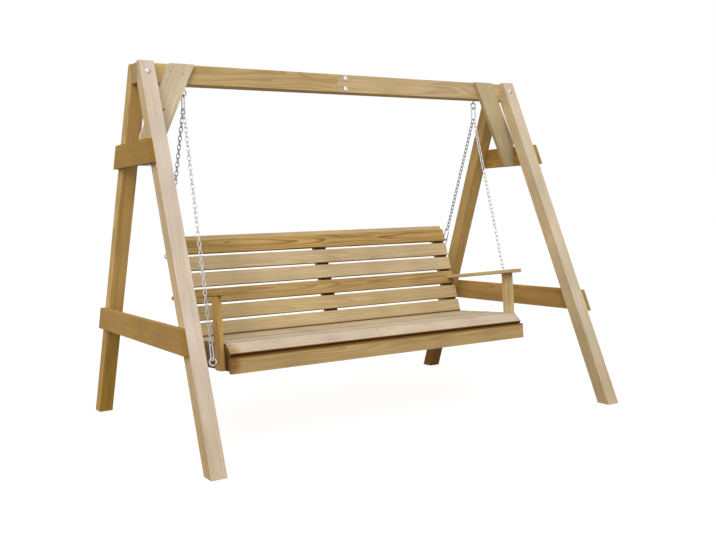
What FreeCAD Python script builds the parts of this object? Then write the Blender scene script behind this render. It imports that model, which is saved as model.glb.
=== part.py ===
"""Timber garden swing: two A-frames, a spliced beam and a slatted bench hung on four chains.

Millimetres, +Z up. The front is -Y, and left and right in the names are as seen from the front,
so right is +X. The origin is on the ground, in the middle of the footprint.
Every piece is a solid of its own, one STEP file per node.
"""
import FreeCAD, Part
import math
import os

Vector = FreeCAD.Vector
X_AXIS = Vector(1, 0, 0)
Y_AXIS = Vector(0, 1, 0)
Z_AXIS = Vector(0, 0, 1)

# Stand: two A-frames of square timber
end_room = 283.0            # from the slats' ends to the legs' outer faces at the ground
frame_depth = 1636.0        # front face to rear face at the ground
leg_section = 70.0          # square timber
leg_proud = 5.0             # leg tops above the beam's top
leg_tip = 31.0              # what is left of a leg beside the beam, at its top
lean_angle = 1.0            # each A-frame leans inwards by this many degrees

# Stand: beam in two halves, joined by a half lap
beam_section = 90.0
beam_top = 1735.0
lap_length = 100.0
lap_gap = 0.2               # glue-free joint, each face of the lap

# Stand: boards across the A-frames and knee braces
tie_thickness = 25.0
tie_height = 110.0
upper_tie_bottom = 1268.0
lower_tie_bottom = 466.0
brace_thickness = 25.0
brace_width = 110.0
brace_angle = 24.5          # from the vertical
brace_inset = 298.0         # inner edge from the legs' outer faces at the ground, at the beam's top

# Bolts, all with dome heads at the front and a nut behind
bolt_diameter = 10.0
bolt_hole_play = 0.6
dome_diameter = 24.0
dome_height = 6.0
dome_crown = 9.0            # flat on the middle of the dome
dome_rim = 2.0              # upright edge round the dome
nut_flats = 17.0
nut_height = 8.0
thread_play = 0.5           # between a bolt and the bore of its nut
bolt_tail = 4.0             # bolt end beyond its nut
spot_face_play = 2.0        # round the head or the nut where it is let into a leg
splice_bolt_spacing = 54.0

# Flats that stand in for rounds, few where a piece repeats often
round_sides = 12            # bolts, pins and their holes
hook_sides = 6              # wire of eyes, hooks and gates
hook_flats = 5              # half turn of an eye or a hook, between its straight sides
link_sides = 4              # wire of the links
link_flats = 3              # half turn of a link

# Eyebolts under the beam and on the bench
eye_wire = 8.0
eye_outer = 40.0
eye_stand_out = 23.0        # beam eyes outside the slats' ends
beam_eye_neck = 15.0        # beam to ring
bench_eye_neck = 3.0        # timber to ring

# Spring hooks, the oval kind with a hinged gate
hook_wire = 8.0
hook_length = 80.0
hook_width = 40.0
gate_wire = 7.0
gate_slot = 3.6
gate_tongue = 3.0
gate_tongue_width = 6.0
gate_tongue_length = 8.0
gate_pin = 2.4
gate_pin_play = 0.3
gate_pin_inset = 1.0        # pin's ends below the gate's surface
gate_end_gap = 0.6
gate_swing_gap = 2.1        # slot's end beyond the tongue's end
gate_nose = 5.0             # straight wire left at the nose end
gate_stub = 2.5             # straight wire left at the hinge end
gate_pin_rise = 4.5         # hinge pin beyond the stub

# Chains of short welded links
link_wire = 4.5             # across the flats
link_width = 20.0
link_pitch = 22.5           # rounded so that an odd count of links fills each run
rest_gap = 0.3              # between pieces of hardware that bear on each other

# Bench, in its own level frame: Y back from the front of the seat, Z up from the flat slats' top
bench_front = -397.2        # the seat's front, in the stand's frame
bench_height = 461.5        # the flat slats' top carried to the seat's front, in the stand's frame
bench_tilt = 3.0            # the bench hangs a little back
slat_length = 1690.0
slat_width = 74.5
slat_thickness = 20.0
slat_gap = 12.0
slat_chamfer = 2.5
front_slat_slope = 41.2     # the front slat falls to the front, under the knees
front_slat_width = 68.0
front_slat_rear = 54.6      # its upper edge behind the seat's front
front_slat_proud = 1.5      # its upper edge above the flat slats
seat_start = 74.0           # first flat slat behind the seat's front
seat_gap = 15.5
seat_slats = 6
back_slats = 6
back_angle = 15.3           # from the seat's normal
back_offset = 17.5          # last seat slat to the back's front plane, at the seat's top
back_rise = -3.0            # lowest back slat's edge above the seat, along the back
cap_thickness = 27.0        # board on the uprights' tops
cap_width = 36.0
apron_overhang = 5.0        # past the slats' ends
apron_height = 75.0
apron_thickness = 25.0
apron_proud = 6.0           # apron's face in front of the seat's front
apron_drop = 57.2           # apron's top below the flat slats' top
rail_thickness = 25.0
rail_height = 103.5
rail_tail = 9.0             # rail behind the uprights
upright_width = 70.0
upright_thickness = 30.0
post_width = 70.0
post_thickness = 20.0
post_setback = 73.0         # post behind the seat's front
arm_width = 70.0
arm_thickness = 20.0
arm_front = 6.0             # arm's end behind the seat's front
arm_height = 238.5          # arm's top at its front end
arm_slope = 2.8             # falls to the back
arm_overhang = 4.0          # past the post's outer face
arm_tail = 14.0             # past the upright's rear face
arm_chamfer = 2.5
front_eye_drop = 79.5       # front bench eyes below the slats' top
rear_eye_rise = 436.0       # rear bench eyes above the seat, along the back

# Worked out from the above
half_slat = slat_length / 2
half_width = half_slat + end_room
half_depth = frame_depth / 2
leg_top = beam_top + leg_proud
eye_place = half_slat + eye_stand_out
brace_reach = half_width - brace_inset
half_beam = beam_section / 2
beam_bottom = beam_top - beam_section
beam_middle = beam_top - half_beam
lean = math.tan(math.radians(lean_angle))
beam_length = 2 * (half_width - beam_middle * lean)
apex_half = half_beam + leg_tip
leg_slope = (half_depth - apex_half) / leg_top
leg_depth = leg_section * math.hypot(1.0, leg_slope)
bolt_hole = bolt_diameter + bolt_hole_play
eye_mean = (eye_outer - eye_wire) / 2
hook_mean = (hook_width - hook_wire) / 2
hook_straight = hook_length - hook_width
slat_pitch = slat_width + slat_gap
seat_pitch = slat_width + seat_gap
seat_end = seat_start + (seat_slats - 1) * seat_pitch - seat_gap
front_slat_sine = math.sin(math.radians(front_slat_slope))
front_slat_cosine = math.cos(math.radians(front_slat_slope))
back_foot = seat_end + back_offset
back_top = back_rise + back_slats * slat_pitch - slat_gap
back_slope = math.tan(math.radians(back_angle))
back_cosine = math.cos(math.radians(back_angle))
rail_bottom = -slat_thickness - rail_height
post_middle = post_setback + post_width / 2
arm_fall = math.tan(math.radians(arm_slope))
wood_clear = 200.0          # how far a cutting tool runs past the timber


def prism(points, depth):
    """A solid from a flat outline of 3-D points, pushed along a vector."""
    corners = [Vector(*point) for point in points]
    face = Part.Face(Part.makePolygon(corners + corners[:1]))
    return face.extrude(Vector(*depth))


def box(low, high):
    size = [high[i] - low[i] for i in range(3)]
    return Part.makeBox(*size, Vector(*low))


def turned(profile, sides=round_sides):
    """A piece turned about Z, with flats: the profile gives heights and radii, from end to end."""
    corner = 1 / math.cos(math.pi / sides)
    turns = [2 * math.pi * (k + 0.5) / sides for k in range(sides)]
    rings = []
    for height, radius in profile:
        reach = radius * corner
        rings.append([Vector(reach * math.cos(turn), reach * math.sin(turn), height) for turn in turns])
    outlines = [rings[0], rings[-1]]
    for ring, after in zip(rings, rings[1:]):
        for k in range(sides):
            outlines.append([ring[k - 1], ring[k], after[k], after[k - 1]])
    return solid_of(outlines)


def solid_of(outlines):
    """A solid from the outlines of all its flat faces."""
    faces = [Part.Face(Part.makePolygon(outline + outline[:1])) for outline in outlines]
    solid = Part.Solid(Part.Shell(faces))
    if solid.Volume < 0:
        solid.reverse()
    return solid


def rod(diameter, start, end, sides=round_sides):
    """A bar between two points, as wide across its flats as its diameter."""
    run = Vector(*end) - Vector(*start)
    bar = turned([(0, diameter / 2), (run.Length, diameter / 2)], sides)
    bar.Placement = FreeCAD.Placement(Vector(*start), FreeCAD.Rotation(Z_AXIS, run))
    return bar


def mirrored(shape):
    """The same piece at the other end of the swing."""
    return shape.mirror(Vector(0, 0, 0), X_AXIS)


def as_drawn(shape):
    """The piece where it was drawn, at the +X end."""
    return shape


ENDS = (("right", as_drawn), ("left", mirrored))


def both_ends(shapes):
    return shapes + [mirrored(shape) for shape in shapes]


def save(name, shapes):
    """Write one node, a single solid or a group of like ones."""
    solids = shapes if isinstance(shapes, list) else [shapes]
    shape = solids[0] if len(solids) == 1 else Part.makeCompound(solids)
    shape.exportStep("parts/" + name + ".step")
    print(name, len(shape.Solids), "solids", round(shape.Volume / 1000), "cm3")


def leaned(shape):
    """Lean a piece of the +X A-frame inwards about its outer edge on the ground."""
    turned = shape.copy()
    turned.rotate(Vector(half_width, 0, 0), Y_AXIS, -lean_angle)
    return turned


bench_turn = FreeCAD.Rotation(X_AXIS, -bench_tilt)
bench_place = FreeCAD.Placement(Vector(0, bench_front, bench_height), bench_turn)


def on_bench(shape):
    """Carry a piece from the bench's level frame to where the bench hangs."""
    hung = shape.copy()
    hung.Placement = bench_place.multiply(hung.Placement)
    return hung


def bench_point(x, y, z):
    return bench_place.multVec(Vector(x, y, z))


def back_point(along, behind):
    """Bench Y and Z of a point up the back and behind its front plane."""
    sine = back_slope * back_cosine
    return back_foot + along * sine + behind * back_cosine, along * back_cosine - behind * sine


# Bolt sets

spot_face = max(dome_diameter, nut_flats) + 2 * spot_face_play
leg_bolt_x = half_width - leg_section / 2 - beam_middle * lean
leg_bolt_face = half_depth - leg_slope * (beam_middle + spot_face / 2)


def carriage_bolt(x, z, front, rear):
    """Bolt along Y: dome head on the front seat, its tail past a nut at the rear."""
    profile = [
        (-dome_height, dome_crown / 2),
        (-dome_rim, dome_diameter / 2),
        (0, dome_diameter / 2),
        (0, bolt_diameter / 2),
        (rear - front + nut_height + bolt_tail, bolt_diameter / 2),
    ]
    bolt = turned(profile)
    bolt.Placement = FreeCAD.Placement(Vector(x, front, z), FreeCAD.Rotation(Z_AXIS, Y_AXIS))
    return bolt


def hex_nut(base, axis):
    """Hexagon nut standing on a point, along an axis."""
    body = turned([(0, nut_flats / 2), (nut_height, nut_flats / 2)], 6)
    body = body.cut(rod(bolt_diameter + thread_play, (0, 0, 0), (0, 0, nut_height)))
    body.Placement = FreeCAD.Placement(base, FreeCAD.Rotation(Z_AXIS, axis))
    return body


# Stand

def leg(front):
    """Leg of the +X A-frame, cut upright where it lies on the beam and spot-faced for its bolt."""
    side = -1.0 if front else 1.0
    below = wood_clear / 2
    cut_height = (half_depth - leg_depth - half_beam) / leg_slope
    outline = [
        (half_depth + leg_slope * below, -below),
        (half_depth - leg_depth + leg_slope * below, -below),
        (half_beam, cut_height),
        (half_beam, leg_top + below),
        (half_depth - leg_slope * (leg_top + below), leg_top + below),
    ]
    points = [(half_width - leg_section, side * y, z) for y, z in outline]
    timber = leaned(prism(points, (leg_section, 0, 0)))
    timber = timber.common(box((0, -2 * half_depth, 0), (2 * half_width, 2 * half_depth, leg_top)))
    hole = rod(bolt_hole, (leg_bolt_x, 0, beam_middle), (leg_bolt_x, side * half_depth, beam_middle))
    seat = rod(spot_face, (leg_bolt_x, side * leg_bolt_face, beam_middle),
               (leg_bolt_x, side * half_depth, beam_middle))
    return timber.cut(hole).cut(seat)


def tie(bottom):
    """Board on the outer faces of two legs, its ends in line with their front and rear faces."""
    top = bottom + tie_height
    low = half_depth - leg_slope * bottom
    high = half_depth - leg_slope * top
    outline = [(-low, bottom), (low, bottom), (high, top), (-high, top)]
    return leaned(prism([(half_width, y, z) for y, z in outline], (tie_thickness, 0, 0)))


def knee_brace():
    """Board on the beam's front face, from the beam's top down to the upper tie's inner face."""
    slant = math.tan(math.radians(brace_angle))
    outer_top = brace_reach + brace_width * math.hypot(1.0, slant)
    meet = (outer_top + beam_top * slant - half_width) / (slant - lean)
    foot = upper_tie_bottom
    outline = [
        (brace_reach, beam_top),
        (outer_top, beam_top),
        (half_width - meet * lean, meet),
        (half_width - foot * lean, foot),
        (brace_reach + (beam_top - foot) * slant, foot),
    ]
    points = [(x, -half_beam - brace_thickness, z) for x, z in outline]
    return prism(points, (0, brace_thickness, 0))


def splice_heights():
    return [beam_middle - splice_bolt_spacing / 2, beam_middle + splice_bolt_spacing / 2]


def beam_half(side):
    """Half of the beam: side is -1 or 1, and the +X half has the front tongue of the lap."""
    end = side * beam_length / 2
    timber = box((min(0, end), -half_beam, beam_bottom), (max(0, end), half_beam, beam_top))
    reach = lap_length / 2
    tongue_y = sorted((-side * lap_gap / 2, -side * half_beam))
    tongue = box((-reach, tongue_y[0], beam_bottom), (reach, tongue_y[1], beam_top))
    notch_y = sorted((-side * lap_gap / 2, side * half_beam))
    notch = box((-reach - lap_gap, notch_y[0], beam_bottom), (reach + lap_gap, notch_y[1], beam_top))
    timber = timber.fuse(tongue).cut(notch).removeSplitter()
    for x, z in [(side * leg_bolt_x, beam_middle)] + [(0, z) for z in splice_heights()]:
        timber = timber.cut(rod(bolt_hole, (x, -half_beam, z), (x, half_beam, z)))
    eye_x = side * eye_place
    return timber.cut(rod(bolt_hole, (eye_x, 0, beam_bottom), (eye_x, 0, beam_top)))


# Hanging hardware

def hook_section(wire):
    """Corners of a wire's section, outwards and sideways: one corner points in and one out."""
    turns = [2 * math.pi * k / hook_sides for k in range(hook_sides)]
    return [(wire / 2 * math.cos(turn), wire / 2 * math.sin(turn)) for turn in turns]


def link_section(wire):
    """The same for a link, with a flat in and a flat out."""
    turns = [2 * math.pi * (k + 0.5) / link_sides for k in range(link_sides)]
    reach = wire / 2 / math.cos(math.pi / link_sides)
    return [(reach * math.cos(turn), reach * math.sin(turn)) for turn in turns]


def oval(mean, straight, flats, section):
    """Closed oval of wire in the XZ plane: two half turns of a few flats, joined by straight sides.

    The flats touch the true curves from outside, so that the bearing points lie where round wire has them.
    """
    step = math.pi / (flats + 1)
    corner = 1 / math.cos(step / 2)
    rings = []
    for half_turn, lift in ((0, straight / 2), (math.pi, -straight / 2)):
        for k in range(flats + 1):
            turn = half_turn + (k + 0.5) * step
            ring = []
            for out, side in section:
                reach = (mean + out) * corner
                ring.append(Vector(reach * math.cos(turn), side, lift + reach * math.sin(turn)))
            rings.append(ring)
    outlines = []
    for ring, after in zip(rings, rings[1:] + rings[:1]):
        for j in range(len(section)):
            outlines.append([ring[j - 1], ring[j], after[j], after[j - 1]])
    return solid_of(outlines)


def placed(shape, middle, across, along):
    """Put a piece drawn in the XZ plane so that its X lies across and its Z along the given ways."""
    copy = shape.copy()
    turn = FreeCAD.Rotation(across, along.cross(across), along, "ZXY")
    copy.Placement = FreeCAD.Placement(middle, turn)
    return copy


def eyebolt(middle, shank_way, across, seat_distance, grip):
    """Ring with a straight shank: the seat is that far from the ring's middle, then grip and nut."""
    reach = seat_distance + grip + nut_height + bolt_tail
    ring = oval(eye_mean, 0, hook_flats, hook_section(eye_wire))
    shank = rod(bolt_diameter, (0, 0, eye_mean), (0, 0, reach))
    return placed(ring.fuse(shank).removeSplitter(), middle, across, shank_way)


hinge_height = -hook_straight / 2 + gate_stub + gate_pin_rise
gate_top = hook_straight / 2 - gate_nose - gate_end_gap


def hook_body():
    """Spring hook without its gate, the gate's side at +X: stub with a pinned tongue, and a nose."""
    body = oval(hook_mean, hook_straight, hook_flats, hook_section(hook_wire))
    stub_top = -hook_straight / 2 + gate_stub
    nose_foot = hook_straight / 2 - gate_nose
    body = body.cut(box((0, -hook_wire, stub_top), (2 * hook_mean, hook_wire, nose_foot)))
    tongue = box((hook_mean - gate_tongue_width / 2, -gate_tongue / 2, stub_top - gate_stub),
                 (hook_mean + gate_tongue_width / 2, gate_tongue / 2, stub_top + gate_tongue_length))
    pin_hole = rod(gate_pin + 2 * gate_pin_play, (hook_mean, -hook_wire, hinge_height),
                   (hook_mean, hook_wire, hinge_height))
    return body.fuse(tongue).cut(pin_hole).removeSplitter()


def hook_gate():
    """Gate with a forked, rounded foot and its riveted pin."""
    half = gate_wire / 2
    bar = rod(gate_wire, (hook_mean, 0, hinge_height), (hook_mean, 0, gate_top), hook_sides)
    foot = rod(gate_wire, (hook_mean, 0, hinge_height - half), (hook_mean, 0, hinge_height), hook_sides)
    rounding = rod(gate_wire, (hook_mean, -gate_wire, hinge_height), (hook_mean, gate_wire, hinge_height))
    foot = foot.common(rounding)
    slot_top = hinge_height + gate_tongue_length - gate_pin_rise + gate_swing_gap
    slot = box((0, -gate_slot / 2, hinge_height - gate_wire), (2 * hook_mean, gate_slot / 2, slot_top))
    pin_end = half - gate_pin_inset
    pin = rod(gate_pin, (hook_mean, -pin_end, hinge_height), (hook_mean, pin_end, hinge_height))
    return bar.fuse(foot).cut(slot).fuse(pin).removeSplitter()


class Hanger:
    """One chain of the +X end, from the beam's spring hook down to a bench eye."""

    def __init__(self, eye_middle, gate_side):
        bear = hook_wire / 2 + rest_gap
        run = hook_foot - eye_middle
        self.eye_middle = eye_middle
        self.up = run.normalize()
        self.side = X_AXIS.cross(self.up).normalize() * gate_side
        self.face = self.up.cross(self.side)
        ring_wire = eye_middle + self.up * eye_mean
        self.hook_middle = ring_wire + self.up * (hook_mean - bear - eye_wire / 2 + hook_straight / 2)
        link_seat = hook_mean - bear - link_wire / 2
        self.first = hook_foot - self.up * link_seat
        self.last = self.hook_middle + self.up * (hook_straight / 2 + link_seat)

    def links(self):
        """An odd count of links, turned by a quarter from one to the next."""
        span = (self.first - self.last).Length
        count = 2 * round((span / link_pitch - 1) / 2) + 1
        inside = (span - link_wire + (count - 1) * rest_gap) / count
        mean = (link_width - link_wire) / 2
        pattern = oval(mean, inside + link_wire - 2 * mean, link_flats, link_section(link_wire))
        made = []
        for k in range(count):
            middle = self.first - self.up * ((inside + link_wire) / 2 + k * (inside - rest_gap))
            across = self.face if k % 2 == 0 else self.side
            made.append(placed(pattern, middle, across, self.up))
        return made

    def hook(self, shape):
        return placed(shape, self.hook_middle, self.side, self.up)

    def gate_hinge(self):
        return self.hook_middle + self.side * hook_mean + self.up * hinge_height


# Bench

def eased(board):
    """A slat with its long edges taken off."""
    return board.makeChamfer(slat_chamfer, [edge for edge in board.Edges if edge.Length > slat_length / 2])


def seat_slat(index):
    """Slat lying flat on the rails, counted from the first behind the front slat."""
    low_y = seat_start + index * seat_pitch
    board = box((-half_slat, low_y, -slat_thickness), (half_slat, low_y + slat_width, 0))
    return eased(board)


def front_slat():
    """Slat on the sloping ends of the rails, turned about its upper edge."""
    board = box((-half_slat, -front_slat_width, -slat_thickness), (half_slat, 0, 0))
    board = eased(board)
    board.rotate(Vector(0, 0, 0), X_AXIS, front_slat_slope)
    board.translate(Vector(0, front_slat_rear, front_slat_proud))
    return board


def front_slat_point(along, below):
    """Bench Y and Z of a point down the front slat from its upper edge and below its face."""
    return (front_slat_rear - along * front_slat_cosine + below * front_slat_sine,
            front_slat_proud - along * front_slat_sine - below * front_slat_cosine)


def back_slat(index):
    """Slat standing on the back, counted from the seat up."""
    along = back_rise + index * slat_pitch
    board = box((-half_slat, 0, along), (half_slat, slat_thickness, along + slat_width))
    board = eased(board)
    board.rotate(Vector(0, 0, 0), X_AXIS, -back_angle)
    board.translate(Vector(0, back_foot, 0))
    return board


def back_cap():
    """Board across the uprights' tops, behind the top slat."""
    board = box((-half_slat, slat_thickness, back_top),
                (half_slat, slat_thickness + cap_width, back_top + cap_thickness))
    board = eased(board)
    board.rotate(Vector(0, 0, 0), X_AXIS, -back_angle)
    board.translate(Vector(0, back_foot, 0))
    return board


def apron():
    """Board across the front of the rails, under the front slat."""
    end = half_slat + apron_overhang
    rear = apron_thickness - apron_proud
    return box((-end, -apron_proud, -apron_drop - apron_height), (end, rear, -apron_drop))


upright_front = back_foot + slat_thickness / back_cosine
rail_end = upright_front - slat_thickness * back_slope + upright_thickness / back_cosine + rail_tail


def rail(low_x):
    """Rail under the slats, from the apron to behind the uprights, its front cut to the front slat."""
    start = apron_thickness - apron_proud
    timber = box((low_x, start, rail_bottom), (low_x + rail_thickness, rail_end, -slat_thickness))
    reach = 2 * slat_width
    cut = [front_slat_point(reach, slat_thickness), front_slat_point(-reach, slat_thickness),
           front_slat_point(-reach, -reach), front_slat_point(reach, -reach)]
    return timber.cut(prism([(low_x, y, z) for y, z in cut], (rail_thickness, 0, 0)))


def front_eye_hole():
    eye_z = -front_eye_drop
    return rod(bolt_hole, (0, post_middle, eye_z), (2 * half_slat, post_middle, eye_z))


def rear_eye_place():
    return back_point(rear_eye_rise, slat_thickness + upright_thickness / 2)


def upright(low_x):
    """Upright behind the back slats, its foot cut level with the rails' underside."""
    depth = upright_thickness / back_cosine
    top_front = back_point(back_top, slat_thickness)
    top_rear = back_point(back_top, slat_thickness + upright_thickness)
    foot_front = upright_front + rail_bottom * back_slope
    outline = [(foot_front, rail_bottom), (foot_front + depth, rail_bottom), top_rear, top_front]
    return prism([(low_x, y, z) for y, z in outline], (upright_width, 0, 0))


def side_upright():
    """Upright of the +X end: its shoulder stands on the rail and its foot laps the rail's inside."""
    timber = upright(half_slat - upright_width)
    lap = box((half_slat - rail_thickness, 0, rail_bottom - wood_clear),
              (half_slat + wood_clear, 2 * back_foot, -slat_thickness))
    eye_y, eye_z = rear_eye_place()
    return timber.cut(lap).cut(rod(bolt_hole, (0, eye_y, eye_z), (2 * half_slat, eye_y, eye_z)))


def arm_top(y):
    return arm_height - (y - arm_front) * arm_fall


def arm_post():
    """Board on the rail's outside, its top cut to the arm's slope."""
    front, rear = post_setback, post_setback + post_width
    outline = [
        (front, rail_bottom),
        (rear, rail_bottom),
        (rear, arm_top(rear) - arm_thickness),
        (front, arm_top(front) - arm_thickness),
    ]
    board = prism([(half_slat, y, z) for y, z in outline], (post_thickness, 0, 0))
    return board.cut(front_eye_hole())


def arm():
    """Armrest on its post, notched round the back so that its outer strip lies on the upright."""
    outer = half_slat + post_thickness + arm_overhang
    rear_plane = back_point(0, slat_thickness + upright_thickness)
    tail = (rear_plane[0] + (arm_height - rear_plane[1]) * back_slope) + arm_tail
    outline = [
        (arm_front, arm_top(arm_front)),
        (tail, arm_top(tail)),
        (tail, arm_top(tail) - arm_thickness),
        (arm_front, arm_top(arm_front) - arm_thickness),
    ]
    board = prism([(outer - arm_width, y, z) for y, z in outline], (arm_width, 0, 0))
    board = board.makeChamfer(arm_chamfer, [edge for edge in board.Edges if edge.Length > arm_height])
    behind = wood_clear + slat_thickness + upright_thickness
    cut = [back_point(0, 0), back_point(0, behind), back_point(back_top, behind), back_point(back_top, 0)]
    notch = prism([(half_slat - wood_clear, y, z) for y, z in cut], (wood_clear, 0, 0))
    return board.cut(notch)


# Where the hardware hangs: beam eye, bearing line, and the foot of the beam's spring hook
beam_eye_seat = beam_eye_neck + eye_outer / 2
beam_eye = Vector(eye_place, 0, beam_bottom - beam_eye_seat)
pivot = beam_eye - Z_AXIS * eye_mean
hook_drop = hook_mean - hook_wire / 2 - rest_gap - eye_wire / 2
beam_hook = pivot - Z_AXIS * (hook_drop + hook_straight / 2)
hook_foot = beam_hook - Z_AXIS * (hook_straight / 2)
bench_eye_seat = bench_eye_neck + eye_outer / 2
front_seat = half_slat + post_thickness
rear_eye_y, rear_eye_z = rear_eye_place()
front_hanger = Hanger(bench_point(front_seat + bench_eye_seat, post_middle, -front_eye_drop), 1)
rear_hanger = Hanger(bench_point(half_slat + bench_eye_seat, rear_eye_y, rear_eye_z), -1)

os.makedirs("parts", exist_ok=True)

# Stand
for end, turn in ENDS:
    save("front_leg_" + end, turn(leg(True)))
    save("rear_leg_" + end, turn(leg(False)))
    save("upper_tie_" + end, turn(tie(upper_tie_bottom)))
    save("lower_tie_" + end, turn(tie(lower_tie_bottom)))
    save("knee_brace_" + end, turn(knee_brace()))
save("beam_half_left", beam_half(-1))
save("beam_half_right", beam_half(1))
leg_bolts = both_ends([carriage_bolt(leg_bolt_x, beam_middle, -leg_bolt_face, leg_bolt_face)])
splice_bolts = [carriage_bolt(0, z, -half_beam, half_beam) for z in splice_heights()]
save("frame_bolts", leg_bolts + splice_bolts)
end_nuts = [hex_nut(Vector(leg_bolt_x, leg_bolt_face, beam_middle), Y_AXIS),
            hex_nut(Vector(eye_place, 0, beam_top), Z_AXIS)]
save("frame_nuts", both_ends(end_nuts) + [hex_nut(Vector(0, half_beam, z), Y_AXIS) for z in splice_heights()])
save("beam_eyebolts", both_ends([eyebolt(beam_eye, Z_AXIS, X_AXIS, beam_eye_seat, beam_section)]))

# Hanging hardware
hook_shape = hook_body()
gate_shape = hook_gate()
front_eye = eyebolt(front_hanger.eye_middle, -X_AXIS, front_hanger.up, bench_eye_seat,
                    post_thickness + rail_thickness)
rear_eye = eyebolt(rear_hanger.eye_middle, -X_AXIS, rear_hanger.up, bench_eye_seat, upright_width)
for end, turn in ENDS:
    save("beam_hook_" + end, turn(placed(hook_shape, beam_hook, -Y_AXIS, Z_AXIS)))
    save("beam_hook_gate_" + end, turn(placed(gate_shape, beam_hook, -Y_AXIS, Z_AXIS)))
    for name, hanger in (("front", front_hanger), ("rear", rear_hanger)):
        save(name + "_chain_" + end, [turn(link) for link in hanger.links()])
        save(name + "_hook_" + end, turn(hanger.hook(hook_shape)))
        save(name + "_hook_gate_" + end, turn(hanger.hook(gate_shape)))
save("bench_eyebolts", both_ends([front_eye, rear_eye]))
front_nut_seat = bench_point(half_slat - rail_thickness, post_middle, -front_eye_drop)
rear_nut_seat = bench_point(half_slat - upright_width, rear_eye_y, rear_eye_z)
save("bench_nuts", both_ends([hex_nut(front_nut_seat, -X_AXIS), hex_nut(rear_nut_seat, -X_AXIS)]))

# Bench
save("seat_slat_1", on_bench(front_slat()))
for index in range(seat_slats - 1):
    save("seat_slat_" + str(index + 2), on_bench(seat_slat(index)))
for index in range(back_slats):
    save("back_slat_" + str(index + 1), on_bench(back_slat(index)))
save("back_cap", on_bench(back_cap()))
side_rail = rail(half_slat - rail_thickness).cut(front_eye_hole())
for end, turn in ENDS:
    save("side_rail_" + end, turn(on_bench(side_rail)))
    save("upright_" + end, turn(on_bench(side_upright())))
    save("arm_post_" + end, turn(on_bench(arm_post())))
    save("armrest_" + end, turn(on_bench(arm())))
save("middle_rail", on_bench(rail(-upright_width / 2 - rail_thickness)))
save("upright_middle", on_bench(upright(-upright_width / 2)))
save("apron", on_bench(apron()))

# Axes for the record
print("swing axis", pivot)
for name, hanger in (("front", front_hanger), ("rear", rear_hanger)):
    print(name, "gate hinge", hanger.gate_hinge(), "axis", hanger.face)
print("beam gate hinge", beam_hook - Y_AXIS * hook_mean + Z_AXIS * hinge_height)
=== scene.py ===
# %% [markdown]
# # A timber garden swing seat
# Two A-frames of pale softwood carry a beam, and a slatted bench hangs under it on four chains.
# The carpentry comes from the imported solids, which stay as they are and only get eased edges and
# grain. What a saw and a plane don't make, the wire, the chains, the bolts and the screws, is
# modelled here.

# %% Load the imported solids
import math

import bmesh
import bpy
from mathutils import Matrix, Vector


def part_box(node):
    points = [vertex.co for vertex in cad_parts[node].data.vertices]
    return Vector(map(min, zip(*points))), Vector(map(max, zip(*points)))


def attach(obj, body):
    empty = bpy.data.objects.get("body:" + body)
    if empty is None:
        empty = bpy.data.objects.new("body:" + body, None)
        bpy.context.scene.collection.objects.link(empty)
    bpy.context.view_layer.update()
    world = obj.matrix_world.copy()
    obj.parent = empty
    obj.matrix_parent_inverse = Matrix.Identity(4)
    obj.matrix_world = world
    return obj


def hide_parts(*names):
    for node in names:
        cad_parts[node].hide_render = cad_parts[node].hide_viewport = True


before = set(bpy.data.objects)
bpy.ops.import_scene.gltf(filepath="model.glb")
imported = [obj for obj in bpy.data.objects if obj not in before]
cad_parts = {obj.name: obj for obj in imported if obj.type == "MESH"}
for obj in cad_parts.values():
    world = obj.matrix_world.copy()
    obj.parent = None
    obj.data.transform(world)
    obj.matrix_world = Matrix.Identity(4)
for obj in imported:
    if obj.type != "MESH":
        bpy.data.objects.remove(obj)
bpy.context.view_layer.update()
MM = 0.001
ACROSS, REARWARD, UP = Vector((1, 0, 0)), Vector((0, 1, 0)), Vector((0, 0, 1))
SIDES = {"left": -1.0, "right": 1.0}
SLATS = range(1, 7)
RAILS = ("side_rail_left", "middle_rail", "side_rail_right")
UPRIGHTS = ("upright_left", "upright_middle", "upright_right")

# %% [markdown]
# ## The camera
# The photograph looks at the swing from its front left, a little above the seat, with a normal lens.
# A camera can be aimed by hand or by a constraint. Here its three directions are written out from
# yaw, pitch and roll, because these were worked out from the straight edges of the stand and then
# fit without guessing.

# %% Camera at the photograph's place
VIEW_YAW, VIEW_PITCH, VIEW_ROLL = (math.radians(a) for a in (31.377, -3.712, -1.68))
VIEW_PLACE = Vector((-2420.6, -4080.8, 1032.4)) * MM
FOCAL_PIXELS, PICTURE_WIDTH, SENSOR_WIDTH = 903.81, 716, 36.0
FARTHEST = 100               # metres

forward = Vector((math.sin(VIEW_YAW) * math.cos(VIEW_PITCH),
                  math.cos(VIEW_YAW) * math.cos(VIEW_PITCH), math.sin(VIEW_PITCH)))
level = Vector((math.cos(VIEW_YAW), -math.sin(VIEW_YAW), 0))
upward = level.cross(forward)
right = math.cos(VIEW_ROLL) * level + math.sin(VIEW_ROLL) * upward
top = -math.sin(VIEW_ROLL) * level + math.cos(VIEW_ROLL) * upward

lens = bpy.data.cameras.new("photo_camera")
lens.sensor_width = SENSOR_WIDTH
lens.lens = FOCAL_PIXELS * SENSOR_WIDTH / PICTURE_WIDTH
lens.clip_end = FARTHEST
camera = bpy.data.objects.new("photo_camera", lens)
bpy.context.scene.collection.objects.link(camera)
aim = Matrix((right, top, -forward)).transposed()
camera.matrix_world = Matrix.Translation(VIEW_PLACE) @ aim.to_4x4()
bpy.context.scene.camera = camera
print("camera lens", round(lens.lens, 2), "mm")

# %% [markdown]
# ## Helpers for colour and shader nodes
# Colours are picked as sRGB hex values, as in any paint program, while the shader works in linear
# light. One function turns the first into the second, and one small function adds a node with its
# settings and links, so that a material reads from top to bottom like a recipe.

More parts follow.
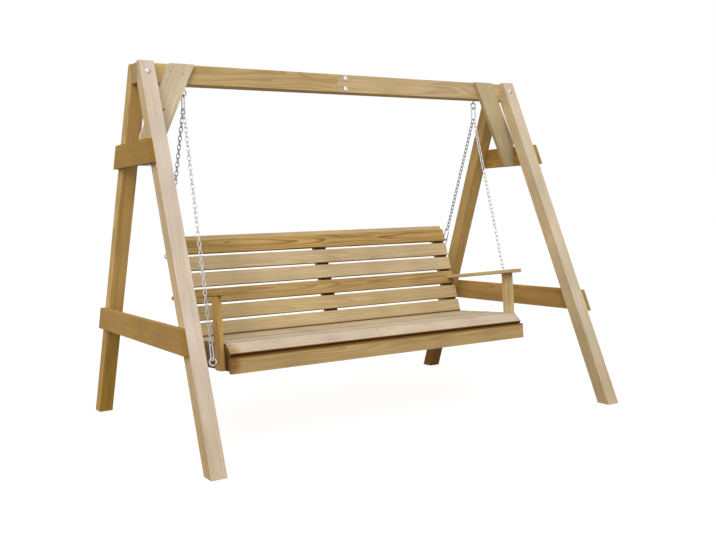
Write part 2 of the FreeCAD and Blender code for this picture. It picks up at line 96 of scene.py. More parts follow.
# %% Colour and node helpers
def linear(hex_colour):
    """An sRGB hex value as linear red, green, blue and alpha."""
    parts = [int(hex_colour[k:k + 2], 16) / 255 for k in (1, 3, 5)]
    return [p / 12.92 if p <= 0.04045 else ((p + 0.055) / 1.055) ** 2.4 for p in parts] + [1.0]


def add(tree, kind, sockets=(), settings=(), **constants):
    """A node: settings are its own choices, constants go by socket name.

    Sockets are given by name or number, each with the output that flows into it or a constant.
    """
    node = tree.nodes.new(kind)
    for name, value in dict(settings).items():
        setattr(node, name, value)
    for name, value in constants.items():
        node.inputs[name.replace("_", " ")].default_value = value
    for socket, source in dict(sockets).items():
        if isinstance(source, bpy.types.NodeSocket):
            tree.links.new(source, node.inputs[socket])
        else:
            node.inputs[socket].default_value = source
    return node


def new_material(name):
    """A material with an empty node tree, its tree and its output."""
    material = bpy.data.materials.new(name)
    material.use_nodes = True
    tree = material.node_tree
    tree.nodes.clear()
    return material, tree, tree.nodes.new("ShaderNodeOutputMaterial")


print("linear mid grey", [round(v, 3) for v in linear("#808080")])

# %% [markdown]
# ## Floor and light
# The swing stands on a plain pale floor in soft light from the front and above, which leaves the
# sides that face left darker than the fronts. A white studio could be had with strong lamps, but
# those would bleach the timber. Here the light stays at a level at which a colour renders about as
# it is written, and what the camera sees of the floor and the room is lifted to white with Light
# Path, with the swing's own shadow kept on the floor.

# %% Floor, room and lamps
FLOOR_SIZE, FLOOR_DROP = 60, 0.5 * MM
WHITE = (1, 1, 1, 1)
FLOOR_BOUNCE, FLOOR_SHADE, FLOOR_GLOW = "#5d5140", "#808080", 0.86
ROOM_TONE, ROOM_LIGHT, SEEN_ROOM = "#fffbf2", 0.86, 1.0
SUN_TONE, SUN_STRENGTH, SUN_SPREAD = "#fdfcff", 1.25, math.radians(35)
TOWARDS_LIGHT = Vector((-0.50, -0.70, 0.50))


def seen(tree):
    """One for what the camera sees, itself, in a shiny surface or through glass, else zero."""
    path = add(tree, "ShaderNodeLightPath")
    ray = path.outputs["Is Camera Ray"]
    for other in ("Is Glossy Ray", "Is Transmission Ray"):
        ray = add(tree, "ShaderNodeMath", {0: ray, 1: path.outputs[other]},
                  {"operation": "MAXIMUM"}).outputs[0]
    return ray


bpy.ops.object.select_all(action="DESELECT")
bpy.ops.mesh.primitive_plane_add(size=FLOOR_SIZE, location=(0, 0, -FLOOR_DROP))
floor = bpy.context.object
floor.name = "studio_floor"

paper, tree, output = new_material("matt_white_studio_paper")
plain = add(tree, "ShaderNodeBsdfDiffuse", Color=linear(FLOOR_BOUNCE))
shaded = add(tree, "ShaderNodeBsdfDiffuse", Color=linear(FLOOR_SHADE))
glow = add(tree, "ShaderNodeEmission", Color=WHITE, Strength=FLOOR_GLOW)
lifted = add(tree, "ShaderNodeAddShader", {0: shaded.outputs[0], 1: glow.outputs[0]})
mixed = add(tree, "ShaderNodeMixShader",
            {0: seen(tree), 1: plain.outputs[0], 2: lifted.outputs[0]})
tree.links.new(mixed.outputs[0], output.inputs["Surface"])
floor.data.materials.append(paper)

room = bpy.data.worlds.new("studio_room")
bpy.context.scene.world = room
room.use_nodes = True
tree = room.node_tree
tree.nodes.clear()
output = tree.nodes.new("ShaderNodeOutputWorld")
soft = add(tree, "ShaderNodeBackground", Color=linear(ROOM_TONE), Strength=ROOM_LIGHT)
white = add(tree, "ShaderNodeBackground", Color=WHITE, Strength=SEEN_ROOM)
mixed = add(tree, "ShaderNodeMixShader",
            {0: seen(tree), 1: soft.outputs[0], 2: white.outputs[0]})
tree.links.new(mixed.outputs[0], output.inputs["Surface"])

sun = bpy.data.lights.new("front_softbox", "SUN")
sun.energy = SUN_STRENGTH
sun.angle = SUN_SPREAD
sun.color = linear(SUN_TONE)[:3]
lamp = bpy.data.objects.new("front_softbox", sun)
bpy.context.scene.collection.objects.link(lamp)
lamp.rotation_euler = (-TOWARDS_LIGHT).to_track_quat("-Z", "Y").to_euler()

bpy.context.scene.view_settings.view_transform = "Standard"
print("floor, room and", lamp.name)

# %% [markdown]
# ## Planed softwood
# The boards are planed spruce or pine: year rings with a soft pale early part and a thin brown late
# part, long fibres, and broader streaks of colour. On a board's face the rings show as long lines
# and arches, on its end as arcs. A flat picture can't give both, so the rings are drawn in space as
# cylinders round a pith beside the board, and the board cuts them wherever its faces lie. Real rings
# are 2 to 4 mm apart, which is less than a pixel here, so they are drawn about 6 mm apart to show.

# %% Directions of a board
NEARLY_SQUARE = 0.2          # cosine below which two faces count as square to each other


def board_axes(node):
    """Thickness, width and length of a board as unit vectors, and its middle.

    They come from its two largest ways of facing.
    """
    areas = {}
    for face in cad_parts[node].data.polygons:
        way = face.normal
        main = max(range(3), key=lambda k: abs(way[k]))
        way = way if way[main] > 0 else -way
        key = tuple(round(v, 2) for v in way)
        total = areas.setdefault(key, [0.0, Vector()])
        total[0] += face.area
        total[1] += way * face.area
    ways = [v[1].normalized() for v in sorted(areas.values(), key=lambda v: -v[0])]
    thick = ways[0]
    wide = next(w for w in ways[1:] if abs(w.dot(thick)) < NEARLY_SQUARE)
    length = thick.cross(wide).normalized()
    low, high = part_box(node)
    return thick, length.cross(thick).normalized(), length, (low + high) / 2


print("beam runs along", tuple(round(v, 2) for v in board_axes("beam_half_left")[2]))

# %% [markdown]
# ## Touches of age and painted shade
# Timber that stands outside isn't even, and here and there a knot shows. Much of the rest is
# painted shade: faces that look down, the narrow fronts of the seat slats, the fronts of the
# uprights and of two seat slats where they show in gaps, a band on the apron under the front slat,
# the foot of the lowest back slat at the seat, the outer faces of the side rails, the corner where
# the left rail meets the apron and the rear legs towards their feet are darkened. The front legs'
# left faces take a warmer tint as painted shade, and the beam's underside a warm tint as painted
# bounce light. The front slat grows darker towards its left end. Vertex paint could do it, but a
# board has too few points. Instead each touch reads either which way a surface faces or where it
# lies, and tints it there.

# %% Touches on single boards
FACING_STARTS, FACING_FULL = 0.35, 0.7       # cosines between a surface and the way it should face
STAIN_CORE = 0.3                             # share of a stain's radius where it is full


def faces(way, tint):
    """Tint what faces that way."""
    return "Normal", "DOT_PRODUCT", way, FACING_STARTS, FACING_FULL, tint


def level_from(start, full, tint):
    """Tint that starts at one height and is full at another, in millimetres."""
    return "Object", "DOT_PRODUCT", UP, start * MM, full * MM, tint


def stain(place, radius, tint):
    """Tint round a point that fades out at that radius, in millimetres."""
    return "Object", "DISTANCE", Vector(place) * MM, radius * MM, STAIN_CORE * radius * MM, tint


# The first brown here is painted shade for faces that look down, the seat slats' narrow fronts and
# the apron's top under the front slat.
PAINTED_SHADE_BROWN, PAINTED_GAP_SHADE, SPLASH, OPEN_END = "#a5884c", "#8a6838", "#f0ece0", "#c4ad86"
KNOT, PAINTED_CORNER_SHADE, LEFT_END_DARKENING, BEAM_SHADE = "#8a5c34", "#c8ac74", "#e1cda0", "#fff6c8"
# Painted shade on every face that looks down.
UNDERSIDE_PAINTED_SHADE = faces(-UP, PAINTED_SHADE_BROWN)
# Painted shade on the seat slats' narrow fronts, which face forward and down.
SEAT_FRONT_PAINTED_SHADE = faces((0, -0.9, -0.45), PAINTED_SHADE_BROWN)
# Painted shade on the uprights' fronts, seen in the gaps between the back slats; the same brown is
# painted shade in two gaps of the seat and at the foot of the lowest back slat.
BEHIND_SLATS_PAINTED_SHADE = faces(-REARWARD, PAINTED_GAP_SHADE)
SPLASHED_FOOT = level_from(500, 120, SPLASH)
apron_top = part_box("apron")[1].z / MM
back_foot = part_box("back_slat_1")[0].z / MM
APRON_PAINTED_SHADOW_BAND = [apron_top - drop for drop in (11, 3)]       # where its painted shadow under the front slat starts and is full
BACK_SLAT_PAINTED_SHADE_BAND = [back_foot + rise for rise in (18, 10)]
TOUCHES = {
    # Painted shade: the front legs' left faces take a warmer tint.
    "front_leg_left": [faces(-ACROSS, "#fbedcb"), SPLASHED_FOOT],
    "front_leg_right": [faces(-ACROSS, "#fff9e1"), SPLASHED_FOOT],
    # Painted shade: the rear legs darken towards their feet.
    "rear_leg_left": [level_from(700, 250, "#e3d8a8")],
    "rear_leg_right": [level_from(260, 90, "#b59a62")],
    "knee_brace_left": [stain((-989.0, -70.0, 1523.2), 8, KNOT)],
    # Painted shade: the apron's top band, its underside and its left end by the left rail.
    "apron": [level_from(*APRON_PAINTED_SHADOW_BAND, PAINTED_SHADE_BROWN), UNDERSIDE_PAINTED_SHADE,
              stain((-850, -403, 370), 60, PAINTED_CORNER_SHADE)],
    # Painted shade on the outer faces of the side rails and round the corner where the left rail
    # meets the apron.
    "side_rail_left": [faces(-ACROSS, "#b09660"), stain((-845, -350, 375), 90, PAINTED_CORNER_SHADE)],
    "side_rail_right": [faces(ACROSS, "#cdb88a")],
}
for side_name in SIDES:
    TOUCHES["beam_half_" + side_name] = [faces(-UP, BEAM_SHADE)]
    for board in ("upper_tie_", "lower_tie_", "armrest_"):
        TOUCHES[board + side_name] = [UNDERSIDE_PAINTED_SHADE]
for k in SLATS:
    TOUCHES[f"back_slat_{k}"] = [UNDERSIDE_PAINTED_SHADE]
    TOUCHES[f"seat_slat_{k}"] = [SEAT_FRONT_PAINTED_SHADE, UNDERSIDE_PAINTED_SHADE,
                                 faces(-ACROSS, OPEN_END), faces(ACROSS, OPEN_END)]
# Painted shade along the foot of the lowest back slat, where it meets the seat.
TOUCHES["back_slat_1"].append(level_from(*BACK_SLAT_PAINTED_SHADE_BAND, PAINTED_GAP_SHADE))
# The front slat grows darker towards its left end.
TOUCHES["seat_slat_1"].append(stain((-845, -390, 425), 70, LEFT_END_DARKENING))
# Painted shade on the fronts of the second and fourth seat slats, seen in the gaps in front of them.
for k in (2, 4):
    TOUCHES[f"seat_slat_{k}"].append(faces(-REARWARD, PAINTED_GAP_SHADE))
for upright in UPRIGHTS:
    TOUCHES[upright] = [BEHIND_SLATS_PAINTED_SHADE]
print("touches on", len(TOUCHES), "boards")

# %% [markdown]
# The recipe for one board: turn the space so that its length is Z, push the pith aside, bend the
# rings a little along the length, and colour early and late wood. Fibres, streaks and blotches then
# vary the tone, the ends are darker because open pores drink oil and dirt, the touches come on top,
# and the late wood stands a hair proud, as planed softwood does.

# %% Timber recipe
RING_PERIOD = 0.314                  # metres between the rings of a wave texture of scale 1
RING_SPACING = 6 * MM
WANDER_SCALE = (8, 8, 1.3)           # per metre: a hand's breadth across, most of a metre along
WANDER_BY = (0.045, 0.045, 0.0)      # metres from one extreme of the wandering to the other
FIBRE_SCALE = (420, 420, 11)         # a fibre is about 2 mm wide and some 90 mm long
STREAK_SCALE = (46, 46, 2.0)         # a streak is about 20 mm wide and half a metre long
BLOTCH_SCALE = 4.5
DARKEST, LIGHTEST, OPEN_PORES = 0.90, 1.08, 0.78
DULL, WAXY = 0.68, 0.52              # roughness of early and of late wood
RELIEF = 0.3 * MM


def timber(node, pale, late, figure, pith_mm, streak):
    """Softwood for one board.

    Figure and streak are how strongly late wood and streaks show, and the pith is how far beside
    the board the tree's heart is, across its thickness and its width.
    """
    thick, wide, length, middle = board_axes(node)
    turn = Matrix((thick, wide, length))
    pith = middle + thick * pith_mm[0] * MM + wide * pith_mm[1] * MM
    material, tree, output = new_material("planed_softwood_" + node)
    space = add(tree, "ShaderNodeTexCoord")
    board = add(tree, "ShaderNodeMapping", {"Vector": space.outputs["Object"]},
                Rotation=turn.to_euler("XYZ"), Location=-(turn @ pith))

    # Rings that wander
    slow = add(tree, "ShaderNodeVectorMath", {0: board.outputs[0], 1: WANDER_SCALE},
               {"operation": "MULTIPLY"})
    wander = add(tree, "ShaderNodeTexNoise", {"Vector": slow.outputs[0]},
                 Scale=1.0, Detail=2.0, Roughness=0.5)
    centred = add(tree, "ShaderNodeVectorMath", {0: wander.outputs["Color"], 1: (0.5, 0.5, 0.5)},
                  {"operation": "SUBTRACT"})
    amount = add(tree, "ShaderNodeVectorMath", {0: centred.outputs[0], 1: WANDER_BY},
                 {"operation": "MULTIPLY"})
    bent = add(tree, "ShaderNodeVectorMath", {0: board.outputs[0], 1: amount.outputs[0]},
               {"operation": "ADD"})
    rings = add(tree, "ShaderNodeTexWave", {"Vector": bent.outputs[0]},
                {"wave_type": "RINGS", "rings_direction": "Z", "wave_profile": "SAW"},
                Scale=RING_PERIOD / RING_SPACING, Distortion=0.5, Detail=2.0, Detail_Scale=0.6)
    late_part = add(tree, "ShaderNodeMapRange", {"Value": rings.outputs["Fac"]},
                    {"interpolation_type": "SMOOTHSTEP"}, From_Min=0.35, From_Max=0.97)

    # Fibres, streaks and blotches
    fine = add(tree, "ShaderNodeVectorMath", {0: board.outputs[0], 1: FIBRE_SCALE},
               {"operation": "MULTIPLY"})
    fibre = add(tree, "ShaderNodeTexNoise", {"Vector": fine.outputs[0]}, Scale=1.0, Detail=2.0)
    broad = add(tree, "ShaderNodeVectorMath", {0: board.outputs[0], 1: STREAK_SCALE},
                {"operation": "MULTIPLY"})
    streaks = add(tree, "ShaderNodeTexNoise", {"Vector": broad.outputs[0]}, Scale=1.0, Detail=3.0)
    streak_part = add(tree, "ShaderNodeMapRange", {"Value": streaks.outputs["Fac"]},
                      {"interpolation_type": "SMOOTHSTEP"},
                      From_Min=0.42, From_Max=0.72, To_Max=streak)
    blotch = add(tree, "ShaderNodeTexNoise", {"Vector": board.outputs[0]},
                 Scale=BLOTCH_SCALE, Detail=1.0)

    # Late wood or a streak, whichever is stronger, turns the early wood's colour into the late one's
    figured = add(tree, "ShaderNodeMath", {0: late_part.outputs[0], 1: figure},
                  {"operation": "MULTIPLY"})
    share = add(tree, "ShaderNodeMath", {0: figured.outputs[0], 1: streak_part.outputs[0]},
                {"operation": "MAXIMUM"})
    grain = add(tree, "ShaderNodeMix",
                {"Factor": share.outputs[0], "A": linear(pale), "B": linear(late)},
                {"data_type": "RGBA"})

    # Fibres and blotches change the lightness by a few percent, open ends by more
    fibre_light = add(tree, "ShaderNodeMapRange", {"Value": fibre.outputs["Fac"]},
                      From_Min=0.25, From_Max=0.75, To_Min=DARKEST, To_Max=LIGHTEST)
    blotch_light = add(tree, "ShaderNodeMapRange", {"Value": blotch.outputs["Fac"]},
                       From_Min=0.3, From_Max=0.7, To_Min=DARKEST, To_Max=LIGHTEST)
    facing = add(tree, "ShaderNodeVectorMath", {0: space.outputs["Normal"], 1: length},
                 {"operation": "DOT_PRODUCT"})
    open_end = add(tree, "ShaderNodeMath", {0: facing.outputs["Value"]}, {"operation": "ABSOLUTE"})
    end_light = add(tree, "ShaderNodeMapRange", {"Value": open_end.outputs[0]},
                    From_Min=0.55, From_Max=0.85, To_Min=1.0, To_Max=OPEN_PORES)
    light = add(tree, "ShaderNodeMath", {0: fibre_light.outputs[0], 1: blotch_light.outputs[0]},
                {"operation": "MULTIPLY"})
    light = add(tree, "ShaderNodeMath", {0: light.outputs[0], 1: end_light.outputs[0]},
                {"operation": "MULTIPLY"})
    colour = add(tree, "ShaderNodeVectorMath",
                 {0: grain.outputs["Result"], "Scale": light.outputs[0]},
                 {"operation": "SCALE"}).outputs[0]
    for reading, measure, target, start, full, tint in TOUCHES.get(node, ()):
        told = add(tree, "ShaderNodeVectorMath", {0: space.outputs[reading], 1: target},
                   {"operation": measure})
        part = add(tree, "ShaderNodeMapRange", {"Value": told.outputs["Value"]},
                   {"interpolation_type": "SMOOTHSTEP"}, From_Min=start, From_Max=full)
        colour = add(tree, "ShaderNodeMix",
                     {"Factor": part.outputs[0], "A": colour, "B": linear(tint)},
                     {"data_type": "RGBA", "blend_type": "MULTIPLY"}).outputs["Result"]

    rough = add(tree, "ShaderNodeMapRange", {"Value": share.outputs[0]}, To_Min=DULL, To_Max=WAXY)
    relief = add(tree, "ShaderNodeMath", {0: fibre.outputs["Fac"], 1: late_part.outputs[0]},
                 {"operation": "ADD"})
    bump = add(tree, "ShaderNodeBump", {"Height": relief.outputs[0]},
               Strength=0.35, Distance=RELIEF)
    wood = add(tree, "ShaderNodeBsdfPrincipled",
               {"Base Color": colour, "Roughness": rough.outputs[0], "Normal": bump.outputs[0]},
               IOR=1.47, Specular_IOR_Level=0.3)
    tree.links.new(wood.outputs[0], output.inputs["Surface"])
    return material


# %% [markdown]
# ## A tone for every board
# No two boards come from the same tree: the front legs, the braces and the seat are pale and a
# little pink, the beam and most slats honey, the ties, the rear legs and the apron darker tan, and
# the top slat has a strong brown figure. One grey-brown for all would look like plastic, so each
# board has its own tones, figure and pith.

# %% Boards and their tones
PINK, CREAM, HONEY, AMBER = "#dacbb5", "#ccb892", "#c5af82", "#bc9f68"
WARM, BROWN, RUSSET, UMBER = "#b39a70", "#96733f", "#8f6428", "#744a18"
BOARDS = {
    # node: early wood, late wood, figure, pith place in millimetres, streaks
    "front_leg_left": ("#e0d2c4", WARM, 0.40, (70, 40), 0.35),
    "front_leg_right": (PINK, WARM, 0.40, (-60, 55), 0.35),
    "rear_leg_left": ("#ddb973", RUSSET, 0.50, (65, -30), 0.50),
    "rear_leg_right": ("#ceac6e", RUSSET, 0.45, (-75, 25), 0.45),
    "upper_tie_left": ("#ae8632", RUSSET, 0.45, (40, 20), 0.45),
    "upper_tie_right": ("#c59d52", RUSSET, 0.45, (45, -30), 0.45),
    "lower_tie_left": ("#b58e44", RUSSET, 0.45, (50, -25), 0.45),
    "lower_tie_right": ("#c89f5c", RUSSET, 0.45, (45, 35), 0.45),
    "knee_brace_left": ("#e9ddc0", WARM, 0.45, (40, 30), 0.40),
    "knee_brace_right": ("#cdbd95", WARM, 0.45, (45, -20), 0.40),
    "beam_half_left": ("#d3b781", BROWN, 0.40, (75, 20), 0.40),
    "beam_half_right": ("#dac195", BROWN, 0.35, (80, -25), 0.35),
    "seat_slat_1": ("#d1c1af", WARM, 0.40, (35, 18), 0.35),
    "seat_slat_2": ("#d1c1af", WARM, 0.35, (40, -20), 0.30),
    "seat_slat_3": ("#d4c3ae", WARM, 0.40, (38, 25), 0.35),
    "seat_slat_4": ("#cfbc9c", WARM, 0.45, (42, -10), 0.35),
    "seat_slat_5": ("#d1c0a8", WARM, 0.40, (36, 15), 0.35),
    "seat_slat_6": ("#c9b692", WARM, 0.45, (40, -28), 0.35),
    "back_slat_1": ("#c8b48a", BROWN, 0.30, (38, 20), 0.30),
    "back_slat_2": (HONEY, BROWN, 0.35, (44, -18), 0.30),
    "back_slat_3": (AMBER, UMBER, 0.50, (34, 10), 0.55),
    "back_slat_4": (CREAM, BROWN, 0.30, (42, 24), 0.30),
    "back_slat_5": (CREAM, BROWN, 0.35, (40, -22), 0.35),
    "back_slat_6": ("#c5a464", UMBER, 0.75, (30, 6), 0.55),
    "back_cap": ("#cdb58a", BROWN, 0.30, (38, 12), 0.30),
    "apron": ("#c8ac78", RUSSET, 0.45, (36, 18), 0.45),
    "side_rail_left": ("#b08d50", RUSSET, 0.45, (40, 10), 0.40),
    "side_rail_right": ("#b08d50", RUSSET, 0.45, (45, -15), 0.40),
    "middle_rail": ("#b08d50", RUSSET, 0.45, (38, 20), 0.40),
    "upright_left": (HONEY, RUSSET, 0.45, (42, 20), 0.40),
    "upright_middle": ("#9a743c", UMBER, 0.45, (40, -25), 0.40),
    "upright_right": ("#a8824a", UMBER, 0.45, (44, 15), 0.40),
    "arm_post_left": ("#dfb56d", RUSSET, 0.45, (36, 20), 0.45),
    "arm_post_right": ("#e1ca96", BROWN, 0.40, (40, -20), 0.40),
    "armrest_left": ("#c8a05a", RUSSET, 0.45, (38, 22), 0.45),
    "armrest_right": ("#d6c090", BROWN, 0.40, (40, -16), 0.40),
}
for node, tones in BOARDS.items():
    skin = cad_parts[node].data.materials
    skin.clear()
    skin.append(timber(node, *tones))
print("timber on", len(BOARDS), "boards")

# %% [markdown]
# ## Eased edges
# A planed board never has a knife edge: the planer or a sanding block takes off a millimetre or two,
# and light catches there. The edges could be modelled in the solids, but they would cost many faces.
# A Bevel modifier does it on the fly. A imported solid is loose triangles, so a Weld modifier joins
# them first. The front slat and the apron meet edge to edge and have swollen in the rain, so that no
# daylight shows in their joint.

# %% Eased edges on the boards
EASE, FINE_EASE, SWELLING, WELD_REACH = 1.6 * MM, 0.5 * MM, 0.8 * MM, 0.02 * MM
EDGE_ANGLE = math.radians(40)
TIGHT_JOINT = ("seat_slat_1", "apron")
for node in BOARDS:
    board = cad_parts[node]
    weld = board.modifiers.new("joined_corners", "WELD")
    weld.merge_threshold = WELD_REACH
    if node in TIGHT_JOINT:
        swell = board.modifiers.new("swollen_timber", "DISPLACE")
        swell.strength, swell.mid_level = SWELLING, 0.0
    ease = board.modifiers.new("eased_edges", "BEVEL")
    ease.width = FINE_EASE if node in TIGHT_JOINT else EASE
    ease.segments = 2
    ease.limit_method, ease.angle_limit = "ANGLE", EDGE_ANGLE
print("eased", len(BOARDS), "boards by", EASE / MM, "mm")

# %% [markdown]
# ## Zinc-plated steel
# Chains, hooks, eyes, bolts and screws are mild steel with a bright zinc coat: a light grey metal
# with a cool cast, cloudy where the coat is thicker. A metal's colour is its reflection, so the base
# colour only runs between two close tones, and the same noise varies the roughness. The rear chains
# have dulled to a darker grey. Wood screws have the yellowish coat that most are sold with, and their
# tone is darker still as painted shade of their sunk heads.

# %% Steel recipes
GRIT_SIZE, GRIT_HEIGHT = 0.8 * MM, 0.1 * MM


def zinc_plate(name, tone, bright, low, high, cloud_mm):
    """Zinc-plated steel with clouds between two tones and a low and a high roughness."""
    material, tree, output = new_material(name)
    space = add(tree, "ShaderNodeTexCoord").outputs["Object"]
    cloud = add(tree, "ShaderNodeTexNoise", {"Vector": space},
                Scale=1 / (cloud_mm * MM), Detail=3.0).outputs["Fac"]
    tint = add(tree, "ShaderNodeMix", {"Factor": cloud, "A": linear(tone), "B": linear(bright)},
               {"data_type": "RGBA"})
    rough = add(tree, "ShaderNodeMapRange", {"Value": cloud},
                From_Min=0.3, From_Max=0.7, To_Min=low, To_Max=high)
    grit = add(tree, "ShaderNodeTexNoise", {"Vector": space}, Scale=1 / GRIT_SIZE, Detail=1.0)
    bump = add(tree, "ShaderNodeBump", {"Height": grit.outputs["Fac"]},
               Strength=0.12, Distance=GRIT_HEIGHT)
    steel = add(tree, "ShaderNodeBsdfPrincipled",
                {"Base Color": tint.outputs["Result"], "Roughness": rough.outputs[0],
                 "Normal": bump.outputs[0]}, Metallic=1.0)
    tree.links.new(steel.outputs[0], output.inputs["Surface"])
    return material


HARDWARE_STEEL = zinc_plate("bright_zinc_plated_steel", "#c2c5c8", "#e4e5e6", 0.22, 0.42, 6)
# Screw steel: a yellow zinc tone, darkened as painted shade of the sunk heads.
SCREW_STEEL_AND_PAINTED_SHADE = zinc_plate("yellow_zinc_screw_steel_and_painted_shade", "#6f5f44", "#97875f", 0.35, 0.55, 3)
CHAIN_STEEL = {
    "front": zinc_plate("bright_galvanised_chain_steel", "#bfc2c5", "#e6e7e8", 0.26, 0.46, 5),
    "rear": zinc_plate("dulled_galvanised_chain_steel", "#6d7073", "#a6a9ab", 0.34, 0.55, 5),
}
print("steels:", HARDWARE_STEEL.name, SCREW_STEEL_AND_PAINTED_SHADE.name,
      *(steel.name for steel in CHAIN_STEEL.values()))

# %% [markdown]
# ## Helpers for modelling by hand
# Every piece below starts from a primitive and is shaped in edit mode. What repeats is modelled once,
# lying flat with its across way on X and its along way on Y, and each copy gets its own mesh, is
# turned to its place and has that place applied, so that all objects sit at the origin like the
# solids.

# %% Modelling helpers
JOIN_REACH = 0.01 * MM


def begin(name):
    """Name the primitive that was just added, apply its place and edit it, all selected."""
    piece = bpy.context.object
    piece.name = piece.data.name = name
    bpy.ops.object.transform_apply(location=True, rotation=True, scale=True)
    bpy.ops.object.mode_set(mode="EDIT")
    bpy.ops.mesh.select_all(action="SELECT")
    return piece


def free_hands():
    """Back to object mode with nothing selected, before a new primitive."""
    if bpy.context.object and bpy.context.object.mode != "OBJECT":
        bpy.ops.object.mode_set(mode="OBJECT")
    bpy.ops.object.select_all(action="DESELECT")


def pick(piece, chosen):
    """Select the points that the test picks, in edit mode."""
    mesh = bmesh.from_edit_mesh(piece.data)
    bpy.ops.mesh.select_all(action="DESELECT")
    for point in mesh.verts:
        point.select_set(chosen(point.co))
    mesh.select_flush(True)
    bmesh.update_edit_mesh(piece.data)


def pull(x, y, z):
    """Extrude what is selected by that many millimetres."""
    bpy.ops.mesh.extrude_region_move(TRANSFORM_OT_translate={"value": (x * MM, y * MM, z * MM)})


def narrow(share, x=0):
    """Scale what is selected about a line along Y, at that X in millimetres."""
    bpy.ops.transform.resize(value=(share, 1, share), center_override=(x * MM, 0, 0))


def close_up(angle=40):
    """Cap open ends, turn faces outwards and shade smooth across small angles."""
    bpy.ops.mesh.select_all(action="SELECT")
    bpy.ops.mesh.remove_doubles(threshold=JOIN_REACH)
    bpy.ops.mesh.fill_holes(sides=0)
    bpy.ops.mesh.select_all(action="SELECT")
    bpy.ops.mesh.normals_make_consistent(inside=False)
    bpy.ops.object.mode_set(mode="OBJECT")
    bpy.ops.object.shade_smooth_by_angle(angle=math.radians(angle))


def together(name, pieces):
    """Join pieces into one object of that name."""
    free_hands()
    for piece in pieces:
        piece.select_set(True)
    bpy.context.view_layer.objects.active = pieces[0]
    bpy.ops.object.transform_apply(location=True, rotation=True, scale=True)
    bpy.ops.object.join()
    made = bpy.context.object
    made.name = made.data.name = name
    return made


def copy_of(pattern, place):
    """A copy with its own mesh at a place, which is a matrix."""
    piece = pattern.copy()
    piece.data = pattern.data.copy()
    bpy.context.scene.collection.objects.link(piece)
    piece.matrix_world = place
    return piece


def put_away(*patterns):
    """Delete patterns whose copies are in place."""
    for pattern in patterns:
        bpy.data.objects.remove(pattern)


def cut(piece, cutter):
    """Take the form of a cutter out of a piece, and put the cutter away."""
    free_hands()
    bpy.context.view_layer.objects.active = piece
    piece.select_set(True)
    hollow = piece.modifiers.new("hollow", "BOOLEAN")
    hollow.object, hollow.operation, hollow.solver = cutter, "DIFFERENCE", "EXACT"
    bpy.ops.object.modifier_apply(modifier=hollow.name)
    put_away(cutter)


def lay(middle, across, along):
    """Matrix that lays a flat piece's X across and its Y along, at a point in millimetres."""
    across, along = across.normalized(), along.normalized()
    turn = Matrix((across, along, across.cross(along))).transposed()
    return Matrix.Translation(middle * MM) @ turn.to_4x4()


def off_solid(piece, nodes):
    """How far a piece's box is from the box of the solids it stands for, in millimetres."""
    solid = [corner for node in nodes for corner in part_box(node)]
    mesh = [point.co for point in piece.data.vertices]
    return max(abs(end(p[k] for p in mesh) - end(c[k] for c in solid))
               for end in (min, max) for k in range(3)) / MM


def dress(piece, steel, body, slot, *nodes):
    """Give a piece its steel, its body and the solids it stands for; the slot is not used."""
    piece.data.materials.clear()
    piece.data.materials.append(steel)
    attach(piece, body)
    print(piece.name, len(piece.data.polygons), "faces on", body)
    if nodes:
        print("  off its solid by", round(off_solid(piece, nodes), 2), "mm")
        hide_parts(*nodes)


def round_wire(name, diameter, middle, facing, sides):
    """A ring of points in edit mode, the section of a wire that starts that way."""
    free_hands()
    turn = Vector(facing).to_track_quat("Z", "Y").to_euler()
    bpy.ops.mesh.primitive_circle_add(vertices=sides, radius=diameter / 2 * MM, fill_type="NOTHING",
                                      location=Vector(middle) * MM, rotation=turn)
    return begin(name)


def bend(x, y, degrees, steps):
    """Spin the open end of a wire to the left, about an upright line through a point."""
    # The spin operator counts clockwise, so a turn to the left is negative.
    bpy.ops.mesh.spin(steps=steps, angle=-math.radians(degrees), center=(x * MM, y * MM, 0),
                      axis=(0, 0, 1))


# %% [markdown]
# ## Where the hangers run
# A hanger is a beam hook, a chain and a bench hook with its eye. The solids fix the eyes, and all
# else follows: the chain pulls straight from the beam hook to the bench eye, and each piece of wire
# bears on the next.

# %% Hanger lines
EYE_MEAN, HOOK_MEAN, HOOK_STRAIGHT = 16.0, 16.0, 40.0
WIRE, LINK_WIRE, LINK_WIDTH, REST_GAP = 8.0, 4.5, 20.0, 0.3
BEAM_EYE = (868, 0, 1610)
BENCH_EYES = {"front": (888, -293.5087, 376.4567), "rear": (868, 298.2097, 836.9311)}
GATE_WAYS = {"front": 1.0, "rear": -1.0}     # side of the chain that the gate is on
BEAR = WIRE / 2 + REST_GAP
EYE_TO_HOOK = EYE_MEAN + HOOK_MEAN - BEAR - WIRE / 2 + HOOK_STRAIGHT / 2
LINK_SEAT = HOOK_MEAN - BEAR - LINK_WIRE / 2
LINKS = {"front": 49, "rear": 31}


def mirrored(point, side):
    """A point of the right half, on that side."""
    return Vector((point[0] * side, point[1], point[2]))


def hanger(side, eye, gate_way):
    """Ways of a chain, the middles of its hooks, and where its wire first and last bears."""
    beam_hook = mirrored(BEAM_EYE, side) - UP * EYE_TO_HOOK
    foot = beam_hook - UP * (HOOK_STRAIGHT / 2)
    eye_middle = mirrored(eye, side)
    up = (foot - eye_middle).normalized()
    out = ACROSS.cross(up).normalized() * gate_way
    hook = eye_middle + up * EYE_TO_HOOK
    return {"up": up, "side": out, "face": up.cross(out), "hook": hook, "beam_hook": beam_hook,
            "first": foot - up * LINK_SEAT, "last": hook + up * (HOOK_STRAIGHT / 2 + LINK_SEAT)}


HANGERS = {(place, side_name): hanger(side, eye, GATE_WAYS[place])
           for side_name, side in SIDES.items() for place, eye in BENCH_EYES.items()}
for key, line in HANGERS.items():
    print("hanger", key, "hook at", tuple(round(v, 1) for v in line["hook"]))

